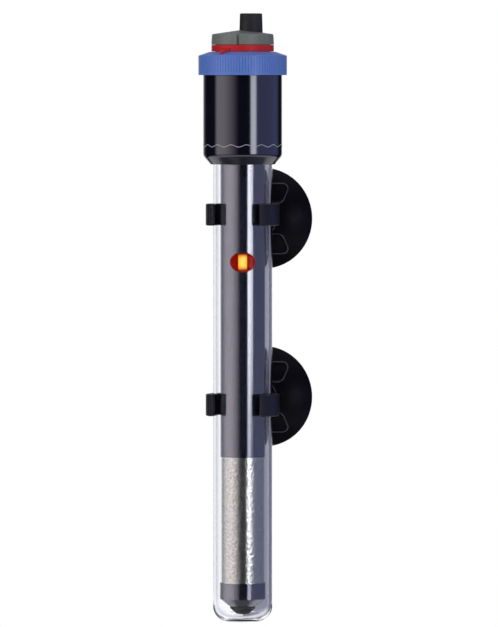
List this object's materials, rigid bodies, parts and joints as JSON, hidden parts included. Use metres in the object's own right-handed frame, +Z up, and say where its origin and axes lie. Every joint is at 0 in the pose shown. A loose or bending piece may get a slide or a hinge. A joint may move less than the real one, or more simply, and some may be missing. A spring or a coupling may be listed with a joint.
{
  "type": "submersible aquarium heater",
  "caption": "Slim glass aquarium heater with a turning temperature ring, pointer ring, geared spindle, thermostat, heating cartridge, and sliding clips on suction cups.",
  "frame": {"origin": "on the wall that the suction cups hold, midway between the two cups and in line with the glass tube", "axes": "+Z up along the glass tube, +Y into the wall, +X to the right when the heater is seen from the front"},
  "size_m": [0.0402, 0.0479, 0.24],
  "materials": {
    "clear_glass": "clear, drawn tube",
    "housing_black": "gloss near-black moulding",
    "seal_rubber": "matt black",
    "cap_grey": "fine grained grey moulding",
    "boot_rubber": "matt black",
    "ring_blue": "blue moulding with fine upright grooves",
    "pointer_red": "red moulding",
    "gear_white": "natural acetal",
    "steel": "turned",
    "brass": "turned or stamped",
    "frame_plastic": "heat resistant moulding",
    "sleeve_dark": "dark grey sleeve",
    "bimetal": "rolled strip",
    "contact_silver": "silver button",
    "magnet_dark": "sintered",
    "capacitor_blue": "dipped coat",
    "lamp_red": "clear red moulding",
    "lamp_glow": "glowing neon tube",
    "resistor_tan": "lacquered",
    "lead_white": "glass fibre sleeved wire",
    "cartridge_cream": "rough cream ceramic",
    "core_ceramic": "unglazed",
    "heating_alloy": "coiled resistance wire",
    "pad_rubber": "soft pad",
    "clip_black": "satin black moulding",
    "cup_rubber": "smooth gloss black rubber"
  },
  "bodies": {
    "heater": {"glass_tube": "clear_glass", "head_housing": "housing_black", "tube_seal": "seal_rubber", "top_cap": "cap_grey", "cable_boot": "boot_rubber", "spindle_bush": "brass", "spindle_seal": "seal_rubber", "thermostat_frame": "frame_plastic", "thermostat_sleeve": "sleeve_dark", "bimetal_clamp": "brass", "clamp_rivets": "steel", "contact_bracket": "brass", "fixed_contact": "contact_silver", "snap_magnet": "magnet_dark", "suppressor_capacitor": "capacitor_blue", "lamp_pocket": "lamp_red", "neon_lamp": "lamp_glow", "lamp_resistor": "resistor_tan", "supply_terminals": "brass", "heater_leads": "lead_white", "cartridge_shell": "cartridge_cream", "heating_core": "core_ceramic", "heating_wire": "heating_alloy", "upper_end_disc": "core_ceramic", "lower_end_disc": "core_ceramic", "bottom_cup": "sleeve_dark", "base_pad": "pad_rubber"},
    "adjusting_ring": {"adjusting_ring": "ring_blue"},
    "calibration_ring": {"calibration_ring": "pointer_red"},
    "adjusting_pinion": {"drive_pinion": "gear_white", "adjusting_spindle": "steel"},
    "setting_slide": {"setting_nut": "brass", "setting_rod": "steel"},
    "contact_arm": {"bimetal_strip": "bimetal", "moving_contact": "contact_silver"},
    "clip_upper": {"clip_upper": "clip_black"},
    "clip_lower": {"clip_lower": "clip_black"},
    "suction_cup_upper": {"suction_cup_upper": "cup_rubber"},
    "suction_cup_lower": {"suction_cup_lower": "cup_rubber"}
  },
  "joints": [
    {"name": "ring_turn", "type": "hinge", "parent": "heater", "child": "adjusting_ring", "pos_m": [0, -0.0305, 0.09335], "axis": [0, 0, 1], "range_deg": [-140, 140]},
    {"name": "pointer_turn", "type": "hinge", "parent": "heater", "child": "calibration_ring", "pos_m": [0, -0.0305, 0.10185], "axis": [0, 0, 1], "range_deg": [-15, 15]},
    {"name": "spindle_spin", "type": "hinge", "parent": "heater", "child": "adjusting_pinion", "pos_m": [-0.0032, -0.01935, 0.09305], "axis": [0, 0, 1], "range_deg": [-820, 820]},
    {"name": "nut_slide", "type": "slide", "parent": "heater", "child": "setting_slide", "axis": [0, 0, 1], "range_m": [-0.00181, 0.00181]},
    {"name": "bimetal_bend", "type": "hinge", "parent": "heater", "child": "contact_arm", "pos_m": [-0.00065, -0.02824, 0.05185], "axis": [0.9613, 0.2756, 0], "range_deg": [0, 2], "stiffness_Nm_per_rad": 0.01, "springref_deg": -5.73},
    {"name": "clip_upper_slide", "type": "slide", "parent": "heater", "child": "clip_upper", "axis": [0, 0, 1], "range_m": [-0.014, 0.014]},
    {"name": "clip_lower_slide", "type": "slide", "parent": "heater", "child": "clip_lower", "axis": [0, 0, 1], "range_m": [-0.07, 0.014]},
    {"name": "cup_upper_swivel", "type": "hinge", "parent": "clip_upper", "child": "suction_cup_upper", "pos_m": [0, -0.0135, 0.03555], "axis": [0, 1, 0], "continuous": true},
    {"name": "cup_lower_swivel", "type": "hinge", "parent": "clip_lower", "child": "suction_cup_lower", "pos_m": [0, -0.0135, -0.03555], "axis": [0, 1, 0], "continuous": true}
  ],
  "couplings": [
    {"joint": "ring_turn", "follows": "nut_slide", "rad_per_m": 1346.4},
    {"joint": "spindle_spin", "follows": "nut_slide", "rad_per_m": 7854}
  ]
}
